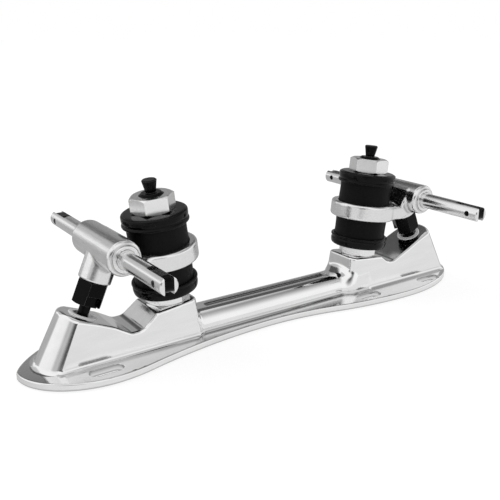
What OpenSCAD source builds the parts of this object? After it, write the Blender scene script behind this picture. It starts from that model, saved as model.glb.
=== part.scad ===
// Quad roller skate plate, lying on its boot face with the trucks up.
// +X points to the toe, Z = 0 is the face that meets the boot sole, and the origin is in the middle of it.
// Each truck is drawn in a frame of its own: origin at the middle of its axle, +X outboard, +Z up.

/* [Plate flange] */
// Length of the flange from heel to toe
plate_length = 228; // [215:1:250]
// Thickness of the flange
flange_t = 3; // [2.5:0.1:4]
// Half width of the flange at its widest by the heel
heel_half = 23.6; // [22:0.1:26]
// Half width of the flange at its widest by the toe
toe_half = 23.7; // [22.5:0.1:28]
// Half width of the flange at the waist
waist_half = 13.8; // [12.5:0.1:16]
// Length of the round of the heel
heel_round = 31; // [28:0.5:36]
// Length of the round of the toe
toe_round = 42; // [36:0.5:46]
// Distance from the middle of the plate back to the waist
waist_back = 8; // [0:0.5:16]
// Share of the run from the waist to the heel that is hollow
heel_bend = 0.8; // [0.6:0.05:0.9]
// Share of the run from the waist to the toe that is hollow
toe_bend = 0.45; // [0.3:0.05:0.7]
// Fullness of the heel's round on the right side, where 2 is an ellipse
heel_power_right = 2; // [1.4:0.1:2.6]
// Fullness of the heel's round on the left side, where 2 is an ellipse
heel_power_left = 1.4; // [1.3:0.1:2.6]

/* [Mounting slots] */
// Length of a slot from end to end
slot_length = 13.5; // [10:0.5:16]
// Width of a slot
slot_width = 5.2; // [4.5:0.1:5.5]
// Distance between the left and the right row of slots
slot_rows = 33; // [31:0.5:34]
// Distance from the rear axle to the heel slots, towards the heel
heel_slot_out = 9.5; // [6:0.5:12]
// Distance from the front axle to the outer toe slots, towards the toe
toe_slot_out = 9; // [6:0.5:11]
// Distance between the two toe slots of one row
toe_slot_step = 41; // [34:0.5:46]

/* [Stance] */
// Distance from the rear axle to the heel end of the flange
heel_overhang = 38.5; // [36:0.5:42]
// Distance from the front axle to the toe end of the flange
toe_overhang = 32.5; // [31:0.5:36]
// Height of the axles above the boot face
axle_height = 45.5; // [44:0.5:48]

/* [Plate bosses and spine] */
// Half width of a boss at the kingpin's foot
boss_half = 9.6; // [9:0.1:10.5]
// Draft of the boss walls in degrees
boss_draft = 5; // [2:0.5:7]
// Radius of the fillet at the foot of the walls
foot_fillet = 2; // [1:0.1:2.5]
// Distance from the kingpin's foot to the inboard end of the rear boss
rear_boss_inboard = 9.2; // [8:0.1:12]
// Distance from the kingpin's foot to the inboard end of the front boss
front_boss_inboard = 10.6; // [8:0.1:12]
// Distance from the kingpin's foot to the outboard edge of its face on the rear boss
rear_boss_outboard = 9.8; // [9.5:0.1:11]
// Distance from the kingpin's foot to the outboard edge of its face on the front boss
front_boss_outboard = 8.4; // [8.2:0.1:10]
// Depth of the rear saddle below the kingpin's face
rear_saddle_depth = 5.6; // [4:0.1:7]
// Depth of the front saddle below the kingpin's face
front_saddle_depth = 3.5; // [2.5:0.1:4.5]
// Length of the floor of the rear saddle
rear_saddle_floor = 4.5; // [3:0.1:6]
// Length of the floor of the front saddle
front_saddle_floor = 3.9; // [3:0.1:6]
// Length of the ramp from the rear saddle up to the kingpin's face
rear_saddle_ramp = 7; // [5:0.1:9]
// Length of the ramp from the front saddle up to the kingpin's face
front_saddle_ramp = 4.3; // [3.5:0.1:6]
// Radius of the hollow of the saddle
saddle_radius = 5; // [3:0.1:6]
// Radius of the pivot boss at its face
nose_radius = 9.8; // [9.4:0.1:10.5]
// Draft of the pivot boss in degrees
nose_draft = 4; // [1:0.5:6]
// Distance from the pivot's axis outboard to the end of the flat walls
wall_reach = 5; // [3:0.1:6]
// Draft of the inboard end of a boss in degrees
boss_end_draft = 5; // [0:0.5:8]
// Round of the inboard corners of a boss, seen from above
boss_end_round = 10; // [4:0.5:11]
// Round of the edges across a boss
boss_round = 1.5; // [0.5:0.1:2]
// Height of the spine above the flange
spine_height = 8.5; // [6:0.1:10]
// Half width of the flat top of the spine
spine_top_half = 4.8; // [4:0.1:6]
// Half width of the spine at its foot
spine_foot_half = 8.4; // [7.5:0.1:9.5]
// Radius of the spine's round shoulders
spine_shoulder = 3; // [1:0.1:4]
// Distance from a boss to the end of the sunk panel on the spine
panel_margin = 8.6; // [6.5:0.1:20]
// Width of the sunk panel on the spine
panel_width = 7; // [5:0.1:7.5]
// Depth of the sunk panel on the spine
panel_depth = 0.5; // [0.3:0.1:1]
// Round of the corners of the sunk panel
panel_corner = 1.7; // [0.5:0.1:2.4]

/* [Kingpin stack] */
// Distance from the axle inboard to the kingpin, at the height of the axle
kingpin_setback = 22.5; // [22:0.1:24]
// Lean of the kingpin in degrees, top outboard
kingpin_lean = 7; // [4:0.5:9]
// Diameter of the kingpin
kingpin_d = 10; // [9:0.1:10]
// Depth of the kingpin in the plate
kingpin_embed = 14; // [10:0.5:14]
// Distance down the kingpin from the height of the axle to the boss
kingpin_drop = 27; // [26:0.1:28]
// Size of the nuts across their flats
nut_flats = 16; // [15:0.5:17]
// Height of the jam nut under the lower cup
jam_nut_h = 4.4; // [4:0.1:5]
// Height of the action nut on top
action_nut_h = 6.6; // [5:0.1:8]
// Height of the kingpin above the action nut
kingpin_proud = 0.9; // [0.9:0.1:3]
// Chamfer on the end of the kingpin
kingpin_tip = 1; // [0.5:0.1:1.4]
// Turn of the rear jam nut about the kingpin in degrees
rear_jam_nut_turn = 18; // [0:1:60]
// Turn of the front jam nut about the kingpin in degrees
front_jam_nut_turn = 56; // [0:1:60]
// Turn of the rear action nut about the kingpin in degrees
rear_action_nut_turn = 15; // [0:1:60]
// Turn of the front action nut about the kingpin in degrees
front_action_nut_turn = 9; // [0:1:60]
// Height of the flared stub on top of the kingpin
stub_h = 5.2; // [3:0.1:6]
// Diameter of the stub at its foot
stub_foot_d = 4.2; // [3:0.1:5]
// Diameter of the stub at its top
stub_top_d = 6.1; // [4:0.1:7]
// Outer diameter of the cushions
cushion_d = 24.4; // [22:0.1:25]
// Height between the floors of the two rear cups
rear_cushion_stack = 31.2; // [30:0.1:34]
// Height between the floors of the two front cups
front_cushion_stack = 32.9; // [31:0.1:34]
// Height of the rear lower cushion
rear_lower_cushion_h = 11.9; // [11:0.1:13]
// Height of the front lower cushion
front_lower_cushion_h = 13.2; // [12:0.1:14]
// Round of the cushions in the cups
cushion_edge = 1.8; // [1:0.1:2]
// Thickness of the floor of the cups
cup_floor = 1.5; // [1:0.1:2]
// Depth of the cups over the cushions
cup_depth = 3.7; // [3:0.1:4.2]
// Wall of the cups at their lip
cup_wall = 1.3; // [1.1:0.1:1.5]
// Height of the lip round the mouth of a cup
cup_lip = 1.2; // [0.8:0.1:1.5]
// How far the lip stands out from the side of the cup
cup_step = 0.7; // [0.4:0.1:0.8]
// Round of the floor of the lower cup
lower_cup_round = 2.6; // [1:0.1:2.8]
// Round of the top of the upper cup
upper_cup_round = 1.6; // [1:0.1:2.8]
// Round of the edges of the cups
cup_edge = 0.35; // [0.2:0.05:0.4]

/* [Hanger] */
// Outer diameter of the axle tube
tube_d = 14; // [13:0.1:15]
// Length of the axle tube between its shoulders
tube_length = 36.2; // [34:0.1:38]
// Diameter of the shoulder at each end of the tube
shoulder_d = 10.6; // [9:0.1:12]
// Height of that shoulder
shoulder_h = 0.8; // [0.4:0.1:1.5]
// Outer diameter of the ring round the kingpin
ring_d = 30.8; // [29:0.1:32]
// Height of the ring
ring_h = 7.5; // [6.5:0.1:8.5]
// Diameter of the hole through the ring
ring_bore_d = 13; // [12.5:0.1:14]
// Depth of the seats for the cushions in the ring
ring_seat = 0.6; // [0.3:0.1:0.9]
// Width of the neck between the ring and the tube
neck_width = 25; // [20:0.5:27]
// Height of the top of the neck above the axle, where it meets the tube
neck_rise = 4.2; // [3:0.1:6]
// Diameter of the pivot boss under the tube
pivot_boss_d = 13; // [12:0.1:14]
// Distance from the rear axle down to the end of the pivot boss
rear_pivot_boss_drop = 13.7; // [12:0.1:15]
// Distance from the front axle down to the end of the pivot boss
front_pivot_boss_drop = 12.1; // [11.5:0.1:13.5]

/* [Axle and wheel locks] */
// Length of the axle from tip to tip
axle_length = 103; // [96:0.5:110]
// Diameter of the wheel seats
axle_d = 7; // [7:0.1:8]
// Diameter of the part of the axle that is pressed into the tube
axle_core_d = 7.5; // [7.2:0.1:8.5]
// Distance from the tip to the cross pin of the wheel lock
lock_pin_in = 5.3; // [5:0.1:7]
// Diameter of the cross pin
lock_pin_d = 2.5; // [2:0.1:2.8]
// Width of the slot in the axle
lock_slot = 3.6; // [3:0.1:4]
// Height of the lock's tongue
lock_height = 6; // [5:0.1:6]
// Reach of the tongue inboard of its pin
lock_tail = 7.5; // [6:0.1:8]
// Depth of the cross pin's ends below the surface of the axle
lock_pin_sunk = 0.6; // [0.3:0.1:1]

/* [Pivot] */
// Lean of the pivot pin in degrees, foot outboard
pivot_lean = 24; // [20:0.5:27]
// Distance along the pin from the rear axle to the face of the plate's pivot boss
rear_pivot_drop = 27.8; // [27:0.1:29]
// Distance along the pin from the front axle to the face of the plate's pivot boss
front_pivot_drop = 25.2; // [24.6:0.1:26]
// Diameter of the pivot pin
pivot_pin_d = 6; // [5:0.1:6.5]
// Diameter of the pin's neck between its square and its round end
pivot_neck_d = 4.4; // [3.5:0.1:5]
// Size across the flats of the square on the pin
pivot_square = 6.1; // [5.5:0.1:6.2]
// Reach of the square past the pivot nut
pivot_square_out = 0.4; // [0.2:0.1:0.8]
// Depth of the middle of the pin's round end below the face
pivot_ball_in = 2.2; // [1.5:0.1:4]
// Size of the pivot nut across its flats
pivot_nut_flats = 11; // [10:0.1:12]
// Height of the pivot nut
pivot_nut_h = 9.6; // [8:0.1:9.8]
// Width of the cross slot in the pivot nut
pivot_nut_slot = 6.4; // [6:0.1:7]
// Depth of the cross slot in the pivot nut
pivot_nut_slot_h = 4.1; // [3:0.1:5]
// Turn of the rear pivot nut about its pin in degrees
rear_pivot_nut_turn = 0; // [0:1:180]
// Turn of the front pivot nut about its pin in degrees
front_pivot_nut_turn = 115; // [0:1:180]
// Outer diameter of the pivot cup's rim
pivot_cup_rim_d = 11.4; // [11:0.1:13]
// Height of the pivot cup's rim above the face
pivot_cup_proud = 0.4; // [0.3:0.1:1]
// Diameter of the pivot cup in the plate
pivot_cup_d = 9.4; // [9:0.1:10]
// Floor of the pivot cup under the pin
pivot_cup_floor = 1.5; // [1:0.1:2]
// How far the mouth of the pivot cup opens round the pin
pivot_cup_flare = 1; // [0.9:0.1:1.4]

/* [Clearances] */
// Gap of a pressed or screwed fit, on the radius
press_gap = 0.01; // [0.005:0.005:0.02]
// Gap of a running fit, on the radius
run_gap = 0.05; // [0.02:0.01:0.1]
// Gap round a soft piece in its seat
soft_gap = 0.15; // [0.1:0.05:0.3]
// Gap between a tongue and the side of its slot
slip_gap = 0.15; // [0.1:0.05:0.3]

/* [Edges] */
// Round of the edges of the hanger
hanger_round = 1; // [0.4:0.1:1.5]
// Chamfer of the small turned pieces
chamfer = 0.4; // [0.2:0.1:0.6]

/* [Hidden] */
$fn = 96;
// Steps of an arc in an outline
arc_steps = 8;
// Steps of the flange's outline between two of its main points
outline_steps = 18;
// Overlap that makes joined shapes one solid, and the reach of a cut past a face
lap = 1;
// Reach of one outline past another, so that no two of their sides share a plane
past = 0.5;

truck_pieces = [
    "kingpin", "jam_nut", "lower_cup", "lower_cushion", "hanger", "upper_cushion", "upper_cup", "action_nut",
    "axle", "left_toggle", "right_toggle", "toggle_pins", "pivot_pin", "pivot_nut", "pivot_cup"];

rear_axle_x = -plate_length / 2 + heel_overhang;
front_axle_x = plate_length / 2 - toe_overhang;
flange_top = flange_t - axle_height;

// Heights along the kingpin, from the height of the axle
boss_face = -kingpin_drop;
lower_cup_z = boss_face + jam_nut_h;
lower_cushion_z = lower_cup_z + cup_floor;
cushion_r = cushion_d / 2;
cushion_bore_r = kingpin_d / 2 + 3 * soft_gap;
cup_r = cushion_r + soft_gap + cup_wall;
cup_inside_round = cushion_edge - 2 * soft_gap;

// Points of the plate in the truck's frame, as [outboard, up]
kingpin_foot = [-kingpin_setback - kingpin_drop * sin(kingpin_lean), -kingpin_drop * cos(kingpin_lean)];
kingpin_out = [cos(kingpin_lean), -sin(kingpin_lean)];
pivot_down = [sin(pivot_lean), -cos(pivot_lean)];
pivot_out = [cos(pivot_lean), sin(pivot_lean)];
axis_foot = (lap - flange_top) / cos(pivot_lean) * pivot_down;
wall_end_foot = axis_foot + wall_reach / cos(pivot_lean) * [1, 0];
wall_foot_half = boss_half + (kingpin_foot[1] - flange_top) * tan(boss_draft);
pivot_pin_top = axle_core_d / 2 + lap;

// The two ends differ a little: end is 1 for the toe and -1 for the heel
function at(end, rear, front) = end > 0 ? front : rear;

// Heights along the kingpin, and the height of the upper cushion
function lower_cushion_h(end) = at(end, rear_lower_cushion_h, front_lower_cushion_h);
function ring_z(end) = lower_cushion_z + lower_cushion_h(end) - ring_seat;
function upper_cushion_z(end) = ring_z(end) + ring_h - ring_seat;
function upper_cup_floor(end) = lower_cushion_z + at(end, rear_cushion_stack, front_cushion_stack);
function upper_cup_top(end) = upper_cup_floor(end) + cup_floor;
function upper_cushion_h(end) = upper_cup_floor(end) - upper_cushion_z(end);

// Points of a boss in the truck's frame
function boss_end(end) = kingpin_foot - at(end, rear_boss_inboard, front_boss_inboard) * kingpin_out;
function boss_foot(end) =
    let (top = boss_end(end))
    [top[0] - (top[1] - flange_top + lap) * tan(boss_end_draft), flange_top - lap];
function boss_lip(end) = kingpin_foot + at(end, rear_boss_outboard, front_boss_outboard) * kingpin_out;
function saddle_low(end) =
    boss_lip(end)
    + [at(end, rear_saddle_ramp, front_saddle_ramp), -at(end, rear_saddle_depth, front_saddle_depth)];
function saddle_out(end) = saddle_low(end) + [at(end, rear_saddle_floor, front_saddle_floor), 0];

// Heights down the pivot pin, from the axle, and points of the boss round it
function pivot_boss_drop(end) = at(end, rear_pivot_boss_drop, front_pivot_boss_drop);
function pivot_drop(end) = at(end, rear_pivot_drop, front_pivot_drop);
function pivot_ball(end) = pivot_drop(end) + pivot_ball_in;
function pivot_cup_end(end) = pivot_ball(end) + pivot_pin_d / 2 + run_gap + pivot_cup_floor;
function pivot_nut_turn(end) = at(end, rear_pivot_nut_turn, front_pivot_nut_turn);
function pivot_face(end) = pivot_drop(end) * pivot_down;
function nose_inboard(end) = pivot_face(end) - nose_radius * pivot_out;
function wall_end(end) = pivot_face(end) + wall_reach * pivot_out;

lock_y = axle_length / 2 - lock_pin_in;
lock_slot_in = lock_y - lock_tail - slip_gap;

// Points of a round of radius r at corner b, between its neighbours a and c
function round_corner(a, b, c, r) =
    let (u = (a - b) / norm(a - b))
    let (v = (c - b) / norm(c - b))
    let (half = acos(u * v) / 2)
    let (mid = b + (u + v) / norm(u + v) * r / sin(half))
    let (from = b + u * r / tan(half) - mid)
    let (to = b + v * r / tan(half) - mid)
    let (start = atan2(from[1], from[0]))
    let (turn = atan2(from[0] * to[1] - from[1] * to[0], from * to))
    [for (i = [0 : arc_steps])
        let (a = start + turn * i / arc_steps)
        mid + r * [cos(a), sin(a)]];

// An outline from corners given as [x, y, radius]
function rounded(path) =
    let (n = len(path))
    let (xy = [for (p = path) [p[0], p[1]]])
    [for (i = [0 : n - 1])
        each path[i][2] > 0
            ? round_corner(xy[(i + n - 1) % n], xy[i], xy[(i + 1) % n], path[i][2])
            : [xy[i]]];

// A half outline and its mirror image across the vertical axis
function both_sides(half) =
    concat(half, [for (i = [len(half) - 1 : -1 : 0]) [-half[i][0], half[i][1]]]);

// An outline from its two sides, both drawn above the horizontal axis and starting and ending on it
function above_and_below(left, right) =
    concat(left, [for (i = [len(right) - 2 : -1 : 1]) [right[i][0], -right[i][1]]]);

// Half a turned section, drawn as [radius, height], and its mirror image below height 0
function both_ends(half) =
    concat(half, [for (i = [len(half) - 1 : -1 : 0]) if (half[i][1] > 0) [half[i][0], -half[i][1]]]);

// Half width of the flange at a distance d from the waist, where it swells by rise over a length run;
// it is hollow up to the share bend of that length and full beyond it
function swell(d, run, rise, bend) =
    d < bend * run
        ? waist_half + rise * d * d / (run * run * bend)
        : waist_half + rise - rise * pow(run - d, 2) / (run * run * (1 - bend));

heel_wide_x = -plate_length / 2 + heel_round;
toe_wide_x = plate_length / 2 - toe_round;
heel_run = -waist_back - heel_wide_x;
toe_run = toe_wide_x + waist_back;

// One side of the flange from the tip of the heel to the tip of the toe, with the heel's fullness
function flange_side(power) = concat(
    [for (i = [0 : outline_steps - 1])
        let (a = 90 * i / outline_steps)
        [heel_wide_x - heel_round * pow(cos(a), 2 / power), heel_half * pow(sin(a), 2 / power)]],
    [for (i = [0 : outline_steps - 1])
        let (d = heel_run * (1 - i / outline_steps))
        [-waist_back - d, swell(d, heel_run, heel_half - waist_half, heel_bend)]],
    [for (i = [0 : outline_steps - 1])
        let (d = toe_run * i / outline_steps)
        [-waist_back + d, swell(d, toe_run, toe_half - waist_half, toe_bend)]],
    [for (i = [0 : outline_steps])
        let (a = 90 * (1 - i / outline_steps))
        [toe_wide_x + toe_round * cos(a), toe_half * sin(a)]]);

// Puts a truck's own frame in place: end is 1 for the toe and -1 for the heel
module truck(end) {
    translate([end > 0 ? front_axle_x : rear_axle_x, 0, axle_height])
        mirror([end > 0 ? 0 : 1, 0, 0])
            children();
}

// A frame with Z up the kingpin
module on_kingpin() {
    translate([-kingpin_setback, 0, 0])
        rotate([0, kingpin_lean, 0])
            children();
}

// A frame with Z down the pivot pin
module on_pivot() {
    rotate([0, 180 - pivot_lean, 0])
        children();
}

// Extrudes an outline drawn as [outboard, up] evenly to both sides
module across(width) {
    rotate([90, 0, 0])
        linear_extrude(width, center = true)
            children();
}

// Extrudes an outline drawn as [sideways, up] from x0 to x1
module lengthwise(x0, x1) {
    translate([x0, 0, 0])
        rotate([90, 0, 90])
            linear_extrude(x1 - x0)
                children();
}

// A ring from a section drawn as [radius, height]
module turned(section) {
    rotate_extrude()
        polygon(section);
}

// A hexagon nut with chamfered corners and a plain hole
module hex_nut(flats, height, hole_r) {
    corner = flats / sqrt(3);
    bevel = (corner - flats / 2) * tan(30);
    difference() {
        intersection() {
            cylinder(h = height, r = corner, $fn = 6);
            turned([
                [0, 0],
                [flats / 2, 0],
                [corner, bevel],
                [corner, height - bevel],
                [flats / 2, height],
                [0, height]]);
        }
        translate([0, 0, -lap])
            cylinder(h = height + 2 * lap, r = hole_r);
    }
}

module slot_hole() {
    run = slot_length - slot_width;
    translate([0, 0, -lap])
        linear_extrude(flange_t + 2 * lap) {
            square([run, slot_width], center = true);
            for (side = [-1, 1])
                translate([side * run / 2, 0])
                    circle(d = slot_width);
        }
}

// Walls with draft and a fillet at their foot, as half a section [sideways, up]
function wall_section(top_half, foot_half, foot, top, shoulder) =
    both_sides(rounded([
        [0, foot - lap, 0],
        [foot_half + 2 * foot_fillet, foot - lap, 0],
        [foot_half + 2 * foot_fillet, foot, 0],
        [foot_half, foot, foot_fillet],
        [top_half, top, shoulder],
        [0, top, 0]]));

// Side view of a boss from its inboard end, over the saddle, to the end of its flat walls
module boss_side(end) {
    function corner(point, radius) = [point[0], point[1], radius];
    polygon(rounded([
        corner(boss_foot(end), 0),
        corner(boss_end(end), boss_round),
        corner(boss_lip(end), boss_round),
        corner(saddle_low(end), saddle_radius),
        corner(saddle_out(end), saddle_radius),
        corner(nose_inboard(end), saddle_radius),
        corner(wall_end(end), 0),
        corner(wall_end_foot, 0)]));
}

// Drafted walls of a boss from its inboard end past the pivot's axis
module boss_walls(end) {
    inboard = boss_foot(end)[0];
    wall_top = max(wall_end(end)[1], boss_end(end)[1]);
    top_half = wall_foot_half - (wall_top + lap - flange_top) * tan(boss_draft);
    foot_edge = wall_foot_half + 2 * foot_fillet;
    intersection() {
        lengthwise(inboard - lap, wall_end_foot[0] + lap)
            polygon(wall_section(top_half, wall_foot_half, flange_top, wall_top + lap, 0));
        across(2 * foot_edge + 4 * lap)
            boss_side(end);
        translate([0, 0, flange_top - 2 * lap])
            linear_extrude(axle_height)
                polygon(rounded([
                    [inboard - past, -foot_edge - lap, boss_end_round],
                    [wall_end_foot[0] + lap, -foot_edge - lap, 0],
                    [wall_end_foot[0] + lap, foot_edge + lap, 0],
                    [inboard - past, foot_edge + lap, boss_end_round]]));
    }
}

// Leaning, drafted nose round the pivot's axis
module boss_nose(end) {
    edge = pivot_face(end) + 2 * nose_radius * pivot_out;
    intersection() {
        on_pivot()
            translate([0, 0, pivot_drop(end) - nose_radius])
                cylinder(
                    h = axle_height,
                    r1 = nose_radius - nose_radius * tan(nose_draft),
                    r2 = nose_radius + (axle_height - nose_radius) * tan(nose_draft));
        across(4 * nose_radius)
            polygon([
                pivot_face(end) - lap * pivot_out,
                edge,
                [edge[0] + axle_height, axis_foot[1]],
                axis_foot - lap * pivot_out]);
    }
}

module spine() {
    top = flange_t + spine_height;
    lengthwise(rear_axle_x - boss_end(-1)[0] - lap, front_axle_x + boss_end(1)[0] + lap)
        polygon(wall_section(spine_top_half, spine_foot_half, flange_t, top, spine_shoulder));
}

module spine_panel() {
    rear = rear_axle_x - boss_end(-1)[0] + panel_margin;
    front = front_axle_x + boss_end(1)[0] - panel_margin;
    half = panel_width / 2;
    translate([0, 0, flange_t + spine_height - panel_depth])
        linear_extrude(panel_depth + lap)
            polygon(rounded([
                [rear, -half, panel_corner],
                [front, -half, panel_corner],
                [front, half, panel_corner],
                [rear, half, panel_corner]]));
}

module mounting_slots() {
    toe_slot_x = front_axle_x + toe_slot_out;
    for (x = [rear_axle_x - heel_slot_out, toe_slot_x - toe_slot_step, toe_slot_x]) {
        for (side = [-1, 1])
            translate([x, side * slot_rows / 2, 0])
                slot_hole();
    }
}

// The polished casting: flange, spine and a boss for each truck
module base_plate() {
    color("gainsboro")
        difference() {
            union() {
                linear_extrude(flange_t)
                    polygon(above_and_below(flange_side(heel_power_left), flange_side(heel_power_right)));
                spine();
                for (end = [-1, 1])
                    truck(end) {
                        boss_walls(end);
                        boss_nose(end);
                    }
            }
            mounting_slots();
            spine_panel();
            for (end = [-1, 1])
                truck(end) {
                    on_kingpin()
                        translate([0, 0, boss_face - kingpin_embed])
                            cylinder(h = kingpin_embed + lap, d = kingpin_d + 2 * press_gap);
                    on_pivot()
                        translate([0, 0, pivot_drop(end) - lap])
                            cylinder(
                                h = pivot_cup_end(end) - pivot_drop(end) + lap,
                                d = pivot_cup_d + 2 * press_gap);
                }
        }
}

// Steering post, screwed into the plate, with a flared stub on its end
module kingpin(end) {
    r = kingpin_d / 2;
    foot = boss_face - kingpin_embed;
    top = upper_cup_top(end) + action_nut_h + kingpin_proud;
    color("#202020")
        on_kingpin()
            turned([
                [0, foot],
                [r - 2 * chamfer, foot],
                [r, foot + 2 * chamfer],
                [r, top - kingpin_tip],
                [r - kingpin_tip, top],
                [stub_foot_d / 2, top],
                [stub_top_d / 2, top + stub_h - chamfer],
                [stub_top_d / 2 - chamfer, top + stub_h],
                [0, top + stub_h]]);
}

// Nut that locks the kingpin in the plate
module jam_nut(end) {
    color("silver")
        on_kingpin()
            translate([0, 0, boss_face])
                rotate([0, 0, at(end, rear_jam_nut_turn, front_jam_nut_turn)])
                    hex_nut(nut_flats, jam_nut_h, kingpin_d / 2 + press_gap);
}

// Section of a cup that holds a cushion, as [radius, height] with its floor at 0 and its lip up
function cup_section(floor_round) =
    let (bore = kingpin_d / 2 + run_gap)
    let (rim = cup_floor + cup_depth)
    let (side_r = cup_r - cup_step)
    let (inside_r = cup_r - cup_wall)
    rounded([
        [bore, 0, 0],
        [side_r, 0, floor_round],
        [side_r, rim - cup_lip, 0],
        [cup_r, rim - cup_lip, cup_edge],
        [cup_r, rim, cup_edge],
        [inside_r, rim, 0],
        [inside_r, cup_floor, cup_inside_round],
        [bore, cup_floor, 0]]);

module lower_cup() {
    color("#181818")
        on_kingpin()
            translate([0, 0, lower_cup_z])
                turned(cup_section(lower_cup_round));
}

module upper_cup(end) {
    color("#181818")
        on_kingpin()
            translate([0, 0, upper_cup_top(end)])
                mirror([0, 0, 1])
                    turned(cup_section(upper_cup_round));
}

// Urethane ring with slightly hollow sides, standing in its cup at height 0
module cushion(height) {
    color("#101010")
        turned(rounded([
            [cushion_bore_r, 0, 0],
            [cushion_r, 0, cushion_edge],
            [cushion_r, cup_depth, 0],
            [cushion_r - soft_gap, height / 2, height],
            [cushion_r, height - cup_depth, 0],
            [cushion_r, height, 0],
            [cushion_bore_r, height, 0]]));
}

module lower_cushion(end) {
    on_kingpin()
        translate([0, 0, lower_cushion_z])
            cushion(lower_cushion_h(end));
}

module upper_cushion(end) {
    on_kingpin()
        translate([0, 0, upper_cup_floor(end)])
            mirror([0, 0, 1])
                cushion(upper_cushion_h(end));
}

module action_nut(end) {
    color("silver")
        on_kingpin()
            translate([0, 0, upper_cup_top(end)])
                rotate([0, 0, at(end, rear_action_nut_turn, front_action_nut_turn)])
                    hex_nut(nut_flats, action_nut_h, kingpin_d / 2 + run_gap);
}

// A point of the ring, as [outboard, up], at a height along the kingpin and a distance outboard of it
function ring_point(height, out) =
    [-kingpin_setback, 0] + height * [sin(kingpin_lean), cos(kingpin_lean)] + out * kingpin_out;

// Web between the ring and the axle tube, rising to the tube
module hanger_neck(end) {
    root = ring_bore_d / 2 + lap;
    seat_edge = cushion_r + soft_gap + lap;
    tube_r = tube_d / 2;
    low = ring_z(end) + past;
    high = ring_z(end) + ring_h - past;
    across(neck_width)
        polygon([
            ring_point(low, root),
            ring_point(low, ring_d / 2 - lap),
            [0, -tube_r],
            [0, neck_rise],
            [-sqrt(tube_r * tube_r - neck_rise * neck_rise), neck_rise],
            ring_point(high, seat_edge),
            ring_point(high, root)]);
}

// Axle tube with a shoulder for the wheel's bearing at each end, as a section along the axle
function tube_section() =
    let (end = tube_length / 2)
    both_ends(rounded([
        [tube_d / 2, 0, 0],
        [tube_d / 2, end, hanger_round],
        [shoulder_d / 2, end, 0],
        [shoulder_d / 2, end + shoulder_h, 0],
        [0, end + shoulder_h, 0]]));

// Casting that carries the axle: tube, ring round the kingpin and boss for the pivot pin
module hanger(end) {
    seat_r = cushion_r + soft_gap;
    drop = pivot_boss_drop(end);
    color("lightgray")
        difference() {
            union() {
                rotate([-90, 0, 0])
                    turned(tube_section());
                on_kingpin()
                    translate([0, 0, ring_z(end)])
                        turned(rounded([
                            [0, 0, 0],
                            [ring_d / 2, 0, hanger_round],
                            [ring_d / 2, ring_h, hanger_round],
                            [0, ring_h, 0]]));
                hanger_neck(end);
                on_pivot()
                    turned([
                        [0, 0],
                        [pivot_boss_d / 2, 0],
                        [pivot_boss_d / 2, drop - chamfer],
                        [pivot_boss_d / 2 - chamfer, drop],
                        [0, drop]]);
            }
            on_kingpin()
                translate([0, 0, ring_z(end)]) {
                    translate([0, 0, -lap])
                        cylinder(h = ring_h + 2 * lap, d = ring_bore_d);
                    translate([0, 0, -tube_d])
                        cylinder(h = ring_seat + tube_d, r = seat_r);
                    translate([0, 0, ring_h - ring_seat])
                        cylinder(h = upper_cushion_h(end), r = seat_r);
                }
            rotate([90, 0, 0])
                cylinder(h = 2 * tube_length, d = axle_core_d + 2 * press_gap, center = true);
            on_pivot()
                translate([0, 0, pivot_pin_top])
                    cylinder(h = drop, d = pivot_pin_d + 2 * press_gap);
        }
}

// Steel axle with a wheel seat at each end, slotted for the wheel locks
module axle() {
    r = axle_d / 2;
    tip = axle_length / 2;
    core = tube_length / 2 + shoulder_h;
    color("whitesmoke")
        difference() {
            rotate([-90, 0, 0])
                turned(both_ends([
                    [axle_core_d / 2, core],
                    [r, core],
                    [r, tip - chamfer],
                    [r - chamfer, tip],
                    [0, tip]]));
            for (side = [-1, 1]) {
                translate([-lock_slot / 2, side > 0 ? lock_slot_in : -tip - lap, -axle_d])
                    cube([lock_slot, tip + lap - lock_slot_in, 2 * axle_d]);
                translate([0, side * lock_y, 0])
                    rotate([0, 90, 0])
                        cylinder(h = 2 * axle_d, d = lock_pin_d + 2 * press_gap, center = true);
            }
        }
}

// Tongue of a wheel lock, in line with the axle: side is 1 for the left end and -1 for the right
module toggle(side) {
    thickness = lock_slot - 2 * slip_gap;
    round_r = lock_height / 2;
    tail = -lock_tail + round_r;
    nose = lock_pin_in - chamfer - round_r;
    color("#141414")
        translate([0, side * lock_y, 0])
            lengthwise(-thickness / 2, thickness / 2)
                difference() {
                    union() {
                        translate([side * (tail + nose) / 2, 0])
                            square([nose - tail, lock_height], center = true);
                        for (y = [tail, nose])
                            translate([side * y, 0])
                                circle(r = round_r);
                    }
                    circle(d = lock_pin_d + 2 * run_gap);
                }
}

// Cross pins on which the tongues turn, sunk below the surface of the axle
module toggle_pins() {
    color("#303030")
        for (side = [-1, 1])
            translate([0, side * lock_y, 0])
                rotate([0, 90, 0])
                    cylinder(h = axle_d - 2 * lock_pin_sunk, d = lock_pin_d, center = true);
}

// Pin with a square in the nut's slot, a neck and a round end that turns in the pivot cup
module pivot_pin(end) {
    nut_end = pivot_boss_drop(end) + pivot_nut_h;
    slot_floor = nut_end - pivot_nut_slot_h;
    square_end = nut_end + pivot_square_out;
    ball = pivot_ball(end);
    color("#1c1c1c")
        on_pivot() {
            translate([0, 0, pivot_pin_top])
                cylinder(h = slot_floor + lap - pivot_pin_top, d = pivot_pin_d);
            rotate([0, 0, pivot_nut_turn(end)])
                translate([0, 0, slot_floor])
                    linear_extrude(square_end - slot_floor)
                        square(pivot_square, center = true);
            translate([0, 0, square_end - lap])
                cylinder(h = ball - square_end + lap, d = pivot_neck_d);
            translate([0, 0, ball])
                sphere(d = pivot_pin_d);
        }
}

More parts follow.
